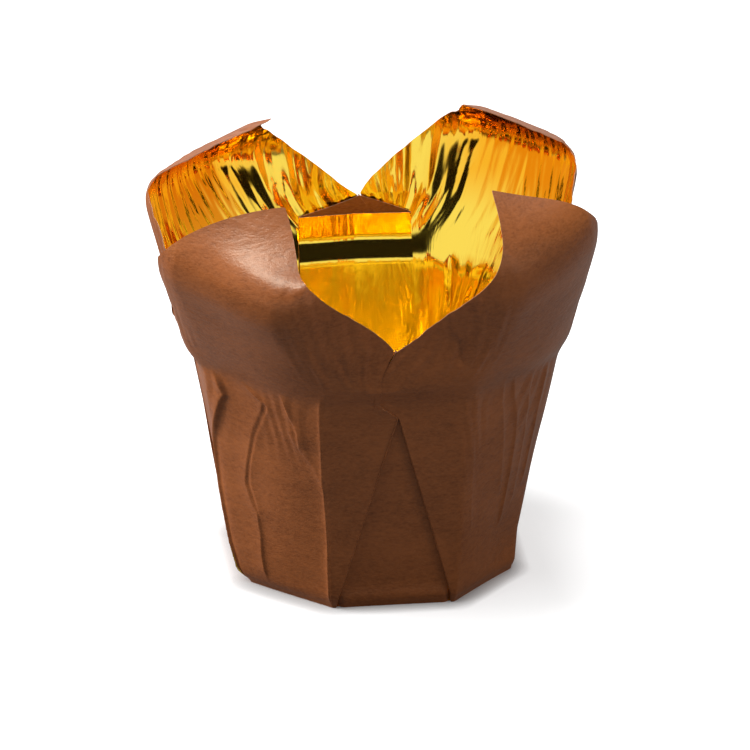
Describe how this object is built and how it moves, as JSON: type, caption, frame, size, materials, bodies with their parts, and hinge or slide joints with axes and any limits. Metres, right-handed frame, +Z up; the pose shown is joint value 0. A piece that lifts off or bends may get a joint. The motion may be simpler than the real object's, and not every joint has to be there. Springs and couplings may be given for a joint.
{
  "type": "cupcake liner",
  "caption": "Lotus cupcake liner folded from a square of foil-lined brown paper, with an octagonal base, box pleats and petals that stand up around the cake.",
  "frame": {"origin": "middle of the octagonal base, on its underside", "axes": "+Z up out of the cup's mouth, -Y through the middle of the front pleat, +X to the right seen from the front"},
  "size_m": [0.0813, 0.0827, 0.0823],
  "materials": {
    "foil_paper": "matt brown paper outside with a mirror gold film inside"
  },
  "bodies": {
    "root": {"liner": "foil_paper"}
  },
  "joints": []
}
